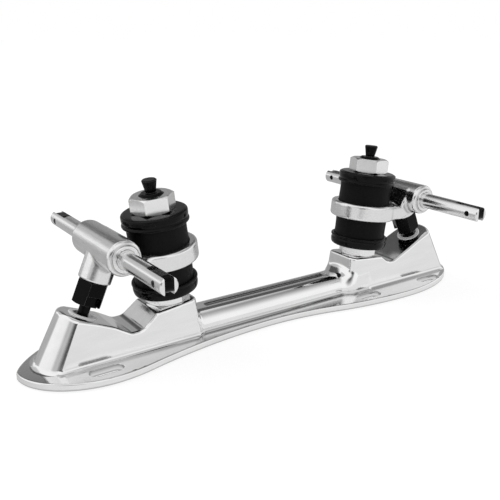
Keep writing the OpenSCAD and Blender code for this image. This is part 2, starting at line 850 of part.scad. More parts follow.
// Nut that locks the pivot pin in the hanger, with a cross slot at its foot
module pivot_nut(end) {
    color("#141414")
        on_pivot()
            translate([0, 0, pivot_boss_drop(end)])
                rotate([0, 0, pivot_nut_turn(end)])
                    difference() {
                        hex_nut(pivot_nut_flats, pivot_nut_h, pivot_pin_d / 2 + press_gap);
                        translate([-pivot_nut_slot / 2, -pivot_nut_flats, pivot_nut_h - pivot_nut_slot_h])
                            cube([pivot_nut_slot, 2 * pivot_nut_flats, pivot_nut_slot_h + lap]);
                    }
}

// Liner in the plate in which the pivot pin's end turns
module pivot_cup(end) {
    face = pivot_drop(end);
    foot = pivot_cup_end(end);
    mouth = face - pivot_cup_proud;
    ball = pivot_ball(end);
    seat_r = pivot_pin_d / 2 + run_gap;
    mouth_r = pivot_pin_d / 2 + pivot_cup_flare;
    rim_r = pivot_cup_rim_d / 2;
    rim_chamfer = min(chamfer, pivot_cup_proud / 2);
    color("lightgray")
        on_pivot()
            difference() {
                turned([
                    [0, mouth],
                    [rim_r - rim_chamfer, mouth],
                    [rim_r, mouth + rim_chamfer],
                    [rim_r, face],
                    [pivot_cup_d / 2, face],
                    [pivot_cup_d / 2, foot],
                    [0, foot]]);
                translate([0, 0, ball])
                    sphere(r = seat_r);
                translate([0, 0, mouth])
                    cylinder(h = ball - mouth, r1 = mouth_r, r2 = seat_r);
            }
}

base_plate();
truck(-1) kingpin(-1);  // rear_kingpin
truck(-1) jam_nut(-1);  // rear_jam_nut
truck(-1) lower_cup();  // rear_lower_cup
truck(-1) lower_cushion(-1);  // rear_lower_cushion
truck(-1) hanger(-1);  // rear_hanger
truck(-1) upper_cushion(-1);  // rear_upper_cushion
truck(-1) upper_cup(-1);  // rear_upper_cup
truck(-1) action_nut(-1);  // rear_action_nut
truck(-1) axle();  // rear_axle
truck(-1) toggle(1);  // rear_left_toggle
truck(-1) toggle(-1);  // rear_right_toggle
truck(-1) toggle_pins();  // rear_toggle_pins
truck(-1) pivot_pin(-1);  // rear_pivot_pin
truck(-1) pivot_nut(-1);  // rear_pivot_nut
truck(-1) pivot_cup(-1);  // rear_pivot_cup
truck(1) kingpin(1);  // front_kingpin
truck(1) jam_nut(1);  // front_jam_nut
truck(1) lower_cup();  // front_lower_cup
truck(1) lower_cushion(1);  // front_lower_cushion
truck(1) hanger(1);  // front_hanger
truck(1) upper_cushion(1);  // front_upper_cushion
truck(1) upper_cup(1);  // front_upper_cup
truck(1) action_nut(1);  // front_action_nut
truck(1) axle();  // front_axle
truck(1) toggle(1);  // front_left_toggle
truck(1) toggle(-1);  // front_right_toggle
truck(1) toggle_pins();  // front_toggle_pins
truck(1) pivot_pin(1);  // front_pivot_pin
truck(1) pivot_nut(1);  // front_pivot_nut
truck(1) pivot_cup(1);  // front_pivot_cup
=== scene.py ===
# %% [markdown]
# # Quad roller skate plate
# The plate lies on its boot face with both trucks up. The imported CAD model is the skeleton: it says where
# every piece is and how it moves. This lesson dresses that skeleton: the two castings get smooth skins with
# fillets, the cushions and cups are turned on an axis, and every piece gets a finish.

# %% Load the frame
import math

import bmesh
import bpy
import numpy as np
from mathutils import Matrix, Vector


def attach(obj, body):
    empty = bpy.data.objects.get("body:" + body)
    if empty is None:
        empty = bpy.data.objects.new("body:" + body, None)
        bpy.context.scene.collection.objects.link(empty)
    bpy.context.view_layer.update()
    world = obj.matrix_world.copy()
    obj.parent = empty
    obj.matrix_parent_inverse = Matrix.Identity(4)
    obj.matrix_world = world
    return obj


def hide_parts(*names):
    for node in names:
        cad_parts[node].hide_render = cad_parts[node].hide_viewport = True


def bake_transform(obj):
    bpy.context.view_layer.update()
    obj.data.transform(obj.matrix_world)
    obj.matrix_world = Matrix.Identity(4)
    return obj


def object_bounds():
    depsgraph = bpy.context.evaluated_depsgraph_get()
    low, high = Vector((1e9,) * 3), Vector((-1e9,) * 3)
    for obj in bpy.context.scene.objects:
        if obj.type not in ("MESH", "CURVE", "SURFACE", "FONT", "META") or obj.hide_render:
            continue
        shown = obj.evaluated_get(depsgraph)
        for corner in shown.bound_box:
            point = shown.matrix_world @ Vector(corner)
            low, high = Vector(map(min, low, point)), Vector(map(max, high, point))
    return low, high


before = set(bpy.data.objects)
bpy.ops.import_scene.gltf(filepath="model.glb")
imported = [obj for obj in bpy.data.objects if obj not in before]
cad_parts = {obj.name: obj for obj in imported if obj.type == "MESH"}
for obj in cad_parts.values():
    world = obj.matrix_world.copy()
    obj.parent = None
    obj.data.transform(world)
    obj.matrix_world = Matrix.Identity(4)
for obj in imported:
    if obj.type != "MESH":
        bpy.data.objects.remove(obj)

cad_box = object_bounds()
MM = 0.001
scene = bpy.context.scene

# %% [markdown]
# ## Camera
# A product photo like this is taken with a short telephoto lens, a little above the part. The camera could be
# placed by eye, but a pinhole camera that was fitted to edges measured in the photo puts every edge on its
# pixel. Its axes are written as three directions: to the right, up, and back towards the lens.

# %% Camera
CAMERA_PLACE = Vector((-176.0, -243.8, 128.5)) * MM
CAMERA_RIGHT = Vector((0.8238, -0.5668, 0.0))
CAMERA_BACK = Vector((-0.5388, -0.7831, 0.3104))
FOCAL_LENGTH = 50.85


def camera_turn(right, back):
    """The camera's rotation from two of its axes."""
    back = back.normalized()
    up = back.cross(right).normalized()
    return Matrix((up.cross(back), up, back)).transposed().to_4x4()


lens = bpy.data.cameras.new("photo_camera")
lens.lens = FOCAL_LENGTH
lens.sensor_width = 36.0
lens.clip_start = 0.01
camera = bpy.data.objects.new("photo_camera", lens)
camera.matrix_world = Matrix.Translation(CAMERA_PLACE) @ camera_turn(CAMERA_RIGHT, CAMERA_BACK)
scene.collection.objects.link(camera)
scene.camera = camera
print("camera at", [round(v, 3) for v in camera.location])

# %% [markdown]
# ## Studio
# Bright metal has hardly any colour of its own: it shows the room. The room here is a white one, so the world
# is white where the camera and reflections look, and lights the part at a plain level elsewhere. The floor is
# a grey sheet that shines a little in view, which makes it as white as the room and keeps the soft shadow.
# More lamps could whiten it too, but they would bleach the part as well.

# %% Room and floor
ROOM_LIGHT = 0.8
FLOOR_SIZE = 8.0
FLOOR_GREY, FLOOR_SHINE, FLOOR_GAP = 0.26, 0.8, 0.0002


def in_view(tree):
    """1 where the camera, a reflection or a refraction looks, and 0 where a surface only gathers light."""
    path = tree.nodes.new("ShaderNodeLightPath")
    looks = path.outputs["Is Camera Ray"]
    for kind in ("Is Glossy Ray", "Is Transmission Ray"):
        either = tree.nodes.new("ShaderNodeMath")
        either.operation = "MAXIMUM"
        tree.links.new(looks, either.inputs[0])
        tree.links.new(path.outputs[kind], either.inputs[1])
        looks = either.outputs[0]
    return looks


room = bpy.data.worlds.new("white_room")
room.use_nodes = True
scene.world = room
tree = room.node_tree
lighting = tree.nodes["Background"]
lighting.inputs["Color"].default_value = (1, 1, 1, 1)
lighting.inputs["Strength"].default_value = ROOM_LIGHT
seen = tree.nodes.new("ShaderNodeBackground")
seen.inputs["Color"].default_value = (1, 1, 1, 1)
seen.inputs["Strength"].default_value = 1.0
mix = tree.nodes.new("ShaderNodeMixShader")
tree.links.new(in_view(tree), mix.inputs["Fac"])
tree.links.new(lighting.outputs[0], mix.inputs[1])
tree.links.new(seen.outputs[0], mix.inputs[2])
tree.links.new(mix.outputs[0], tree.nodes["World Output"].inputs["Surface"])


def flat_sheet(name, width, height, place):
    """A sheet of the stage, one unit across and stretched to its size."""
    mesh = bpy.data.meshes.new(name)
    bm = bmesh.new()
    bmesh.ops.create_grid(bm, x_segments=1, y_segments=1, size=0.5)
    bm.to_mesh(mesh)
    bm.free()
    sheet = bpy.data.objects.new(name, mesh)
    sheet.matrix_world = place @ Matrix.Diagonal((width, height, 1, 1))
    scene.collection.objects.link(sheet)
    return sheet


floor_paint = bpy.data.materials.new("floor_paint")
floor_paint.use_nodes = True
tree = floor_paint.node_tree
paint = tree.nodes["Principled BSDF"]
paint.inputs["Base Color"].default_value = (FLOOR_GREY, FLOOR_GREY, FLOOR_GREY, 1)
paint.inputs["Roughness"].default_value = 0.9
paint.inputs["Specular IOR Level"].default_value = 0.0
paint.inputs["Emission Color"].default_value = (1, 1, 1, 1)
shine = tree.nodes.new("ShaderNodeMapRange")
shine.inputs["To Max"].default_value = FLOOR_SHINE
tree.links.new(in_view(tree), shine.inputs["Value"])
tree.links.new(shine.outputs["Result"], paint.inputs["Emission Strength"])
under = Matrix.Translation((0, 0, cad_box[0][2] - FLOOR_GAP))
floor = flat_sheet("floor", FLOOR_SIZE, FLOOR_SIZE, under)
floor.data.materials.append(floor_paint)
print("floor at", round(cad_box[0][2] / MM, 2), "mm")

# %% [markdown]
# ## Cards
# A photographer hangs cards and flags round a polished part, because without them it would mirror an even
# white and lose its form. Only reflections see these. Each has a feathered edge, so that a rounded surface
# shades softly from one tone to the next. The darkest ones stand where the camera and its tripod would be:
# they draw the stripe along the round nose of a boss. The one lamp only gives the soft shadow, so it stays
# out of the reflections, where its hot spot would burn out the edges.

# %% Cards and lamp
CARDS = {
    # name: (azimuth, elevation, width and height in degrees, grey, feather)
    "card_far_side": (59, 14, 98, 34, 0.33, 0.15),
    "card_far_upper": (64, 42, 84, 40, 0.09, 0.25),
    "card_far_left": (127, 3, 30, 18, 0.46, 0.30),
    "card_left_upper": (113, 30, 34, 28, 0.55, 0.32),
    "card_camera": (-131, 15, 66, 36, 0.04, 0.40),
    "card_left": (-163, 16, 26, 44, 0.58, 0.45),
    "card_upper_right": (-20, 50, 96, 60, 0.28, 0.48),
    "card_ceiling": (60, 86, 46, 46, 0.48, 0.25),
}
# Cards that lie on the floor: (middle, turn in degrees, width, height, grey, feather)
FLOOR_CARDS = {
    "card_near_floor": ((0.2, -0.95, -0.00015), 0, 3.0, 1.96, 0.82, 0.03),
    "card_left_floor": ((-0.5, 1.02, -0.00017), 0, 3.0, 1.96, 0.46, 0.03),
    "card_far_floor": ((0.95, 1.02, -0.00015), 0, 2.0, 1.96, 0.46, 0.03),
    "card_under_part": ((0.0, 0.035, -0.00019), 0, 4.0, 0.30, 0.42, 0.10),
    "card_tripod": ((-0.600, -0.590, -0.00010), -138, 1.00, 0.26, 0.02, 0.36),
}
CARD_DISTANCE = 1.2


def facing_centre(azimuth, elevation, distance):
    """A place on a ball round the part, turned so that a sheet there faces the part."""
    a, e = math.radians(azimuth), math.radians(elevation)
    out = Vector((math.cos(e) * math.cos(a), math.cos(e) * math.sin(a), math.sin(e)))
    return Matrix.Translation(out * distance) @ out.to_track_quat("Z", "Y").to_matrix().to_4x4()


def felt(name, grey, feather):
    """A card's even grey, fading out towards the edges of its sheet."""
    material = bpy.data.materials.new(name)
    material.use_nodes = True
    tree = material.node_tree
    tree.nodes.remove(tree.nodes["Principled BSDF"])
    place = tree.nodes.new("ShaderNodeTexCoord")
    split = tree.nodes.new("ShaderNodeSeparateXYZ")
    both = tree.nodes.new("ShaderNodeMath")
    both.operation = "MULTIPLY"
    tree.links.new(place.outputs["Object"], split.inputs[0])
    for slot, axis in enumerate("XY"):
        from_middle = tree.nodes.new("ShaderNodeMath")
        from_middle.operation = "ABSOLUTE"
        fade = tree.nodes.new("ShaderNodeMapRange")
        fade.interpolation_type = "SMOOTHSTEP"
        fade.inputs["From Min"].default_value = 0.5
        fade.inputs["From Max"].default_value = 0.5 - feather
        tree.links.new(split.outputs[axis], from_middle.inputs[0])
        tree.links.new(from_middle.outputs[0], fade.inputs["Value"])
        tree.links.new(fade.outputs["Result"], both.inputs[slot])
    clear = tree.nodes.new("ShaderNodeBsdfTransparent")
    glow = tree.nodes.new("ShaderNodeEmission")
    glow.inputs["Color"].default_value = (grey, grey, grey, 1)
    mix = tree.nodes.new("ShaderNodeMixShader")
    tree.links.new(both.outputs[0], mix.inputs["Fac"])
    tree.links.new(clear.outputs[0], mix.inputs[1])
    tree.links.new(glow.outputs[0], mix.inputs[2])
    tree.links.new(mix.outputs[0], tree.nodes["Material Output"].inputs["Surface"])
    return material


def hang(name, width, height, place, grey, feather):
    """A card that only reflections see."""
    card = flat_sheet(name, width, height, place)
    card.data.materials.append(felt(name, grey, feather))
    card.visible_camera = False
    card.visible_diffuse = False
    card.visible_transmission = False
    card.visible_shadow = False


for name, (azimuth, elevation, wide, high, grey, feather) in CARDS.items():
    width, height = (2 * CARD_DISTANCE * math.tan(math.radians(angle / 2)) for angle in (wide, high))
    hang(name, width, height, facing_centre(azimuth, elevation, CARD_DISTANCE), grey, feather)
for name, (middle, turn, width, height, grey, feather) in FLOOR_CARDS.items():
    flat = Matrix.Translation(middle) @ Matrix.Rotation(math.radians(turn), 4, "Z")
    hang(name, width, height, flat, grey, feather)

KEY_SIZE, KEY_POWER = 0.9, 4.0
KEY_AZIMUTH, KEY_ELEVATION, KEY_DISTANCE = 130, 44, 1.3
key = bpy.data.lights.new("soft_key", "AREA")
key.shape = "DISK"
key.size = KEY_SIZE
key.energy = KEY_POWER
key_lamp = bpy.data.objects.new("soft_key", key)
key_lamp.matrix_world = facing_centre(KEY_AZIMUTH, KEY_ELEVATION, KEY_DISTANCE)
key_lamp.visible_glossy = False
scene.collection.objects.link(key_lamp)
scene.view_settings.view_transform = "Standard"
print("cards:", len(CARDS) + len(FLOOR_CARDS))

# %% [markdown]
# ## Finishes
# Every finish is one Principled shader. Noise on Object coordinates, stretched where the tool has left lines,
# varies the tone and the roughness a little and lifts a fine bump. On a polished surface the variation stays
# small, so that reflections keep their edges; on the satin castings and the black parts it is coarser.
# Edge tones could come from hand-painted masks. A Bevel node finds the edges here: where the rounded normal
# leaves the flat one, there is an edge, and it gets a lighter tone, a painted highlight that is partly bare
# metal rubbed through. Corners and creases get painted shade, and the skins below carry an attribute that
# says how much.

# %% How a finish is made
NOISE_RANGE, NOISE_DETAIL = (0.3, 0.7), 4.0
# Painted edge highlight, partly rubbed bare metal: how far the Bevel normal turns where it starts and where
# it is full.
WEAR_AND_HIGHLIGHT_STARTS, WEAR_AND_HIGHLIGHT_FULL = 0.99, 0.85


def finish(name, tone, roughness, grain, metallic=0.0, stretch=(1, 1, 1), lift=0.0, specular=0.5,
           edge=0.0, edge_wear_and_highlight=0.0, corners=1.0):
    """A finish with ranges of tone and roughness, a grain, its lift and a soft edge in mm.

    The edge tone paints a highlight, partly rubbed bare metal; corners is the tone's factor in full painted
    shade.
    """
    material = bpy.data.materials.new(name)
    material.use_nodes = True
    tree = material.node_tree
    shader = tree.nodes["Principled BSDF"]
    shader.inputs["Metallic"].default_value = metallic
    shader.inputs["Specular IOR Level"].default_value = specular
    place = tree.nodes.new("ShaderNodeTexCoord")
    turn = tree.nodes.new("ShaderNodeMapping")
    turn.inputs["Scale"].default_value = stretch
    noise = tree.nodes.new("ShaderNodeTexNoise")
    noise.inputs["Scale"].default_value = 1 / (grain * MM)
    noise.inputs["Detail"].default_value = NOISE_DETAIL
    shade = tree.nodes.new("ShaderNodeValToRGB")
    for stop, place_on_ramp, value in zip(shade.color_ramp.elements, NOISE_RANGE, tone):
        stop.position = place_on_ramp
        stop.color = (value, value, value, 1)
    gloss = tree.nodes.new("ShaderNodeMapRange")
    gloss.inputs["From Min"].default_value = NOISE_RANGE[0]
    gloss.inputs["From Max"].default_value = NOISE_RANGE[1]
    gloss.inputs["To Min"].default_value = roughness[0]
    gloss.inputs["To Max"].default_value = roughness[1]
    tree.links.new(place.outputs["Object"], turn.inputs["Vector"])
    tree.links.new(turn.outputs["Vector"], noise.inputs["Vector"])
    tree.links.new(noise.outputs["Fac"], shade.inputs["Fac"])
    tree.links.new(noise.outputs["Fac"], gloss.inputs["Value"])
    tree.links.new(gloss.outputs["Result"], shader.inputs["Roughness"])
    bump = tree.nodes.new("ShaderNodeBump")
    bump.inputs["Distance"].default_value = lift * MM
    tree.links.new(noise.outputs["Fac"], bump.inputs["Height"])
    tree.links.new(bump.outputs["Normal"], shader.inputs["Normal"])
    colour = shade.outputs["Color"]
    if edge > 0:
        soft = tree.nodes.new("ShaderNodeBevel")
        soft.inputs["Radius"].default_value = edge * MM
        tree.links.new(soft.outputs["Normal"], bump.inputs["Normal"])
    # Painted highlight on the edges, partly rubbed bare metal: the edge tone is mixed in where the Bevel
    # normal turns.
    if edge_wear_and_highlight > 0:
        surface = tree.nodes.new("ShaderNodeNewGeometry")
        bend = tree.nodes.new("ShaderNodeVectorMath")
        bend.operation = "DOT_PRODUCT"
        wear_and_highlight = tree.nodes.new("ShaderNodeMapRange")
        wear_and_highlight.inputs["From Min"].default_value = WEAR_AND_HIGHLIGHT_STARTS
        wear_and_highlight.inputs["From Max"].default_value = WEAR_AND_HIGHLIGHT_FULL
        mix = tree.nodes.new("ShaderNodeMix")
        mix.data_type = "RGBA"
        mix.inputs["B"].default_value = (edge_wear_and_highlight, edge_wear_and_highlight, edge_wear_and_highlight, 1)
        tree.links.new(soft.outputs["Normal"], bend.inputs[0])
        tree.links.new(surface.outputs["Normal"], bend.inputs[1])
        tree.links.new(bend.outputs["Value"], wear_and_highlight.inputs["Value"])
        tree.links.new(wear_and_highlight.outputs["Result"], mix.inputs["Factor"])
        tree.links.new(colour, mix.inputs["A"])
        colour = mix.outputs["Result"]
    # Painted shade: a skin's attribute darkens the tone in corners, creases and the other places it marks.
    if corners < 1:
        sheltered = tree.nodes.new("ShaderNodeAttribute")
        sheltered.attribute_name = "sheltered"
        painted_darkening = tree.nodes.new("ShaderNodeMapRange")
        painted_darkening.inputs["To Min"].default_value = 1.0
        painted_darkening.inputs["To Max"].default_value = corners
        shaded = tree.nodes.new("ShaderNodeVectorMath")
        shaded.operation = "SCALE"
        tree.links.new(sheltered.outputs["Fac"], painted_darkening.inputs["Value"])
        tree.links.new(colour, shaded.inputs[0])
        tree.links.new(painted_darkening.outputs["Result"], shaded.inputs["Scale"])
        colour = shaded.outputs[0]
    tree.links.new(colour, shader.inputs["Base Color"])
    return material


# %% The finishes of this part
# The edge tones paint highlights, partly rubbed bare metal; the corner factors set how dark the painted shade
# gets.
FINISHES = {
    "polished_aluminium": finish(
        "polished_aluminium", (0.85, 0.90), (0.09, 0.14), 3.0, metallic=1.0, stretch=(0.15, 1, 1),
        corners=0.06),
    "satin_aluminium": finish(
        "satin_aluminium", (0.74, 0.88), (0.18, 0.26), 0.35, metallic=1.0, stretch=(1, 0.05, 1), lift=0.0015,
        corners=0.2),
    "polished_steel": finish(
        "polished_steel", (0.80, 0.88), (0.16, 0.24), 0.5, metallic=1.0, stretch=(1, 0.05, 1)),
    "bright_zinc": finish(
        "bright_zinc", (0.86, 0.91), (0.20, 0.26), 0.8, metallic=1.0, lift=0.0006, edge=0.35, edge_wear_and_highlight=0.97),
    "black_steel": finish(
        "black_steel", (0.0015, 0.003), (0.12, 0.24), 0.6, lift=0.002, specular=0.08, edge=0.3, edge_wear_and_highlight=0.11),
    "black_cup": finish("black_cup", (0.002, 0.004), (0.10, 0.16), 2.5, specular=0.14),
    "black_urethane": finish("black_urethane", (0.003, 0.006), (0.40, 0.55), 1.0, lift=0.002, specular=0.10),
    "grey_nylon": finish(
        "grey_nylon", (0.74, 0.82), (0.40, 0.55), 0.8, lift=0.003, specular=0.3, edge=0.2, edge_wear_and_highlight=0.85),
}
print("finishes:", ", ".join(FINISHES))

# %% [markdown]
# ## Where things are
# The script can't read the part's source, so the few sizes that the new skins need are written here once, in
# millimetres. A truck has a frame of its own: origin in the middle of the axle, "out" away from the middle of
# the plate, and "up". The kingpin and the pivot pin lean in that frame.

# %% Sizes of the part
AXLE_X = {"rear": -75.5, "front": 81.5}
OUTBOARD = {"rear": -1, "front": 1}
AXLE_Z = 45.5
KINGPIN_SETBACK = 22.5
KINGPIN_LEAN = math.radians(7)
PIVOT_LEAN = math.radians(24)
ENDS = ("rear", "front")


def truck_coordinates(end, x, z):
    """Distance out from the axle and up from the axle."""
    return (x - AXLE_X[end]) * OUTBOARD[end], z - AXLE_Z


def along_kingpin(out, up, side):
    """Height up the kingpin from the height of the axle, and distance from its axis."""
    out = out + KINGPIN_SETBACK
    height = out * math.sin(KINGPIN_LEAN) + up * math.cos(KINGPIN_LEAN)
    across = out * math.cos(KINGPIN_LEAN) - up * math.sin(KINGPIN_LEAN)
    return height, np.hypot(across, side)


def along_pivot(out, up, side):
    """Distance down the pivot pin from the axle, distance out across it, and distance from its axis."""
    down = out * math.sin(PIVOT_LEAN) - up * math.cos(PIVOT_LEAN)
    across = out * math.cos(PIVOT_LEAN) + up * math.sin(PIVOT_LEAN)
    return down, across, np.hypot(across, side)


def kingpin_place(end):
    """A frame with Z up the kingpin, in metres."""
    turn = Matrix.Rotation(math.pi if end == "rear" else 0, 4, "Z")
    lean = Matrix.Rotation(KINGPIN_LEAN, 4, "Y")
    axle = Matrix.Translation((AXLE_X[end] * MM, 0, AXLE_Z * MM))
    return axle @ turn @ Matrix.Translation((-KINGPIN_SETBACK * MM, 0, 0)) @ lean


print("wheelbase:", AXLE_X["front"] - AXLE_X["rear"], "mm")

# %% [markdown]
# ## A skin for a casting
# A casting has a fillet in every corner and a round on every edge. Bevelling hundreds of edges of a joined
# shape is fragile. Here the shape is written as a distance to the surface, where joining two solids with a
# fillet is one line. A copy of the CAD node is merged and remeshed into even quads, which brings every hole
# and slot along. Quads on a small round are split once more, and then each vertex slides on to the exact
# surface. The surface also gives each vertex its normal, so reflections stay clean, and its painted shade:
# the less room there is above it, the darker its tone is painted.

# %% Distances
PROBE, BEND_STEP = 0.01, 0.25
LEAST_SLOPE, LONGEST_MOVE = 0.2, 0.6


def joined(a, b, fillet):
    """Both solids, with a fillet between them."""
    corner = np.hypot(np.maximum(fillet - a, 0), np.maximum(fillet - b, 0))
    return np.maximum(fillet, np.minimum(a, b)) - corner


def shared(a, b, edge):
    """What two solids share, with a rounded edge."""
    corner = np.hypot(np.maximum(edge + a, 0), np.maximum(edge + b, 0))
    return np.minimum(-edge, np.maximum(a, b)) + corner


def outline_distance(corners, a, b):
    """Signed distance of points (a, b) to a closed outline, negative inside."""
    near = np.full(a.shape, 1e9)
    inside = np.zeros(a.shape, bool)
    for (ax, ay), (bx, by) in zip(corners, corners[1:] + corners[:1]):
        ex, ey = bx - ax, by - ay
        t = np.clip(((a - ax) * ex + (b - ay) * ey) / (ex * ex + ey * ey), 0, 1)
        near = np.minimum(near, np.hypot(a - ax - ex * t, b - ay - ey * t))
        crosses = (ay > b) != (by > b)
        inside ^= crosses & (a < ax + ex * (b - ay) / (ey if ey else 1e-9))
    return np.where(inside, -near, near)


def slope_of(shape, points):
    """The direction out of the surface, from four probes round each point."""
    steps = np.array([[1, -1, -1], [-1, -1, 1], [-1, 1, -1], [1, 1, 1]], float)
    total = sum(step * shape(points + PROBE * step)[:, None] for step in steps)
    return total / (4 * PROBE)


def settle(points, shape, passes):
    """Slides points on to the surface."""
    for _ in range(passes):
        slope = slope_of(shape, points)
        length = np.maximum((slope ** 2).sum(1), LEAST_SLOPE)
        move = np.clip(shape(points) / length, -LONGEST_MOVE, LONGEST_MOVE)
        points = points - slope * move[:, None]
    return points


def bend_of(shape, points):
    """How sharply the surface bends, in 1/mm, from the distances a step away on each axis."""
    steps = np.vstack([np.eye(3), -np.eye(3)]) * BEND_STEP
    around = sum(shape(points + step) for step in steps)
    return np.abs(around - 6 * shape(points)) / BEND_STEP ** 2


# %% Skin
SETTLE_ROUNDS, SHARP_BEND, WELD = 3, 0.45, 0.002
# Painted shade: how far above a vertex to look for room, how fast the shade grows, and its deepest amount.
SHADE_REACH, SHADE_GAIN, DEEPEST_SHADE = 1.9, 2.5, 0.5


def vertex_places(mesh):
    """The places of all vertices in mm."""
    flat = np.zeros(len(mesh.vertices) * 3)
    mesh.vertices.foreach_get("co", flat)
    return flat.reshape(-1, 3) / MM


def refine(mesh, shape):
    """Splits each quad that lies on a small fillet or a rounded edge."""
    bm = bmesh.new()
    bm.from_mesh(mesh)
    middles = np.array([face.calc_center_median() for face in bm.faces]) / MM
    chosen = [face for face, bend in zip(bm.faces, bend_of(shape, middles)) if bend > SHARP_BEND]
    edges = list(dict.fromkeys(edge for face in chosen for edge in face.edges))
    bmesh.ops.subdivide_edges(bm, edges=edges, cuts=1, use_grid_fill=True)
    bm.to_mesh(mesh)
    bm.free()
    print("refined faces:", len(chosen))


def cast_skin(name, node, shape, voxel, painted_darkening=None):
    """A smooth skin over a CAD node, drawn by the distance function shape, in mm.

    The last argument gives painted shade for chosen places, as a share from 0 to 1.
    """
    bm = bmesh.new()
    bm.from_mesh(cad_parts[node].data)
    bmesh.ops.remove_doubles(bm, verts=bm.verts, dist=WELD * MM)
    mesh = bpy.data.meshes.new(name)
    bm.to_mesh(mesh)
    bm.free()
    skin = bpy.data.objects.new(name, mesh)
    scene.collection.objects.link(skin)
    remesh = skin.modifiers.new("even_quads", "REMESH")
    remesh.mode = "VOXEL"
    remesh.voxel_size = voxel * MM
    depsgraph = bpy.context.evaluated_depsgraph_get()
    even = bpy.data.meshes.new_from_object(skin.evaluated_get(depsgraph))
    skin.modifiers.clear()
    skin.data = even
    even.name = name
    even.vertices.foreach_set("co", (settle(vertex_places(even), shape, 2) * MM).ravel())
    refine(even, shape)
    for _ in range(SETTLE_ROUNDS):
        bm = bmesh.new()
        bm.from_mesh(even)
        bmesh.ops.smooth_vert(
            bm, verts=bm.verts, factor=0.5, use_axis_x=True, use_axis_y=True, use_axis_z=True)
        bm.to_mesh(even)
        bm.free()
        even.vertices.foreach_set("co", (settle(vertex_places(even), shape, 2) * MM).ravel())
    places = settle(vertex_places(even), shape, 4)
    even.vertices.foreach_set("co", (places * MM).ravel())
    normals = slope_of(shape, places)
    normals /= np.linalg.norm(normals, axis=1)[:, None]
    even.shade_smooth()
    even.normals_split_custom_set_from_vertices(normals)
    # Painted shade: vertices with little room above them, in corners and creases, get a darker tone.
    room_above = shape(places + normals * SHADE_REACH) / SHADE_REACH
    sheltered = np.clip((1 - room_above) * SHADE_GAIN, 0, DEEPEST_SHADE)
    if painted_darkening:
        sheltered = np.maximum(sheltered, np.clip(painted_darkening(places), 0, 1))
    even.attributes.new("sheltered", "FLOAT", "POINT").data.foreach_set("value", sheltered)
    even.update()
    triangles = sum(len(face.vertices) - 2 for face in even.polygons)
    print(name, "triangles:", triangles, "off surface:", round(float(np.abs(shape(places)).max()), 3), "mm")
    return skin


# %% [markdown]
# ## The plate
# The plate is one casting, polished to a mirror: a thin flange for the boot, a spine, and a boss at each end.
# A boss has drafted walls, a saddle between the kingpin and the pivot, and a leaning round nose that carries
# the pivot cup. The nose is slightly oval and the walls cut it off, so they meet in one crisp line, as in the
# photo. Each form is a short function, because the skin only asks how far a point is from the surface.

# %% Flange and slots
FLANGE_T = 3.0
HEEL_TIP, HEEL_WIDE, WAIST, TOE_WIDE, TOE_TIP = -114.0, -83.0, -8.0, 72.0, 114.0
HEEL_HALF, WAIST_HALF, TOE_HALF = 23.6, 13.8, 23.7
HEEL_BEND, TOE_BEND = 0.8, 0.45
HEEL_POWER_RIGHT, HEEL_POWER_LEFT, TOE_POWER = 2.0, 1.4, 2.0
SLOT_X = (-85.0, 49.5, 90.5)
SLOT_Y, SLOT_RUN, SLOT_R = 16.5, 8.3, 2.6
RIM_ROUND, SLOT_ROUND, SLOPE_STEP = 0.6, 0.45, 0.1


def swell(d, run, half, bend):
    """Half width at d from the waist: a hollow curve up to the bend, and a full one after it."""
    rise = half - WAIST_HALF
    hollow = WAIST_HALF + rise * d * d / (run * run * bend)
    full = half - rise * (run - d) ** 2 / (run * run * (1 - bend))
    return np.where(d < bend * run, hollow, full)


def tip_distance(t, s, length, half, power):
    """About the distance outside a rounded tip: t along it and s across it, both as shares of its size."""
    t, s = np.maximum(t, 1e-6), np.maximum(s, 1e-6)
    reach = (t ** power + s ** power) ** (1 / power)
    slope = np.hypot((t / reach) ** (power - 1) / length, (s / reach) ** (power - 1) / half)
    return (reach - 1) / slope


def half_width(x):
    """Half the flange's width between its widest places."""
    toe = swell(x - WAIST, TOE_WIDE - WAIST, TOE_HALF, TOE_BEND)
    heel = swell(WAIST - x, WAIST - HEEL_WIDE, HEEL_HALF, HEEL_BEND)
    return np.where(x > WAIST, toe, heel)


def flange_edge(x, y):
    """Distance outside the outline of the flange."""
    side = np.abs(y)
    half = half_width(x)
    slope = (half_width(x + SLOPE_STEP) - half) / SLOPE_STEP
    edge = (side - half) / np.hypot(1, slope)
    heel_long, toe_long = HEEL_WIDE - HEEL_TIP, TOE_TIP - TOE_WIDE
    heel_t, toe_t = (HEEL_WIDE - x) / heel_long, (x - TOE_WIDE) / toe_long
    heel_right = tip_distance(heel_t, side / HEEL_HALF, heel_long, HEEL_HALF, HEEL_POWER_RIGHT)
    heel_left = tip_distance(heel_t, side / HEEL_HALF, heel_long, HEEL_HALF, HEEL_POWER_LEFT)
    heel = np.where(y < 0, heel_right, heel_left)
    toe = tip_distance(toe_t, side / TOE_HALF, toe_long, TOE_HALF, TOE_POWER)
    return np.where(x < HEEL_WIDE, heel, np.where(x > TOE_WIDE, toe, edge))


def slot_distance(x, y):
    """Distance outside the nearest slot."""
    nearest = np.min([np.maximum(np.abs(x - middle) - SLOT_RUN / 2, 0) for middle in SLOT_X], axis=0)
    return np.hypot(nearest, np.abs(y) - SLOT_Y) - SLOT_R


print("flange:", TOE_TIP - HEEL_TIP, "x", HEEL_HALF + TOE_HALF, "mm")

# %% Boss
WALL_FOOT, WALL_DRAFT = 10.97, math.radians(5)
END_DRAFT = math.radians(5)
NOSE_R, NOSE_DRAFT, NOSE_SQUEEZE = 9.8, math.radians(4), 0.9
PIVOT_DROP = {"rear": 27.8, "front": 25.2}
WALL_REACH, BOSS_CORNER = 4.4, 3.4
WALL_EDGE, NOSE_EDGE = 0.25, 0.3
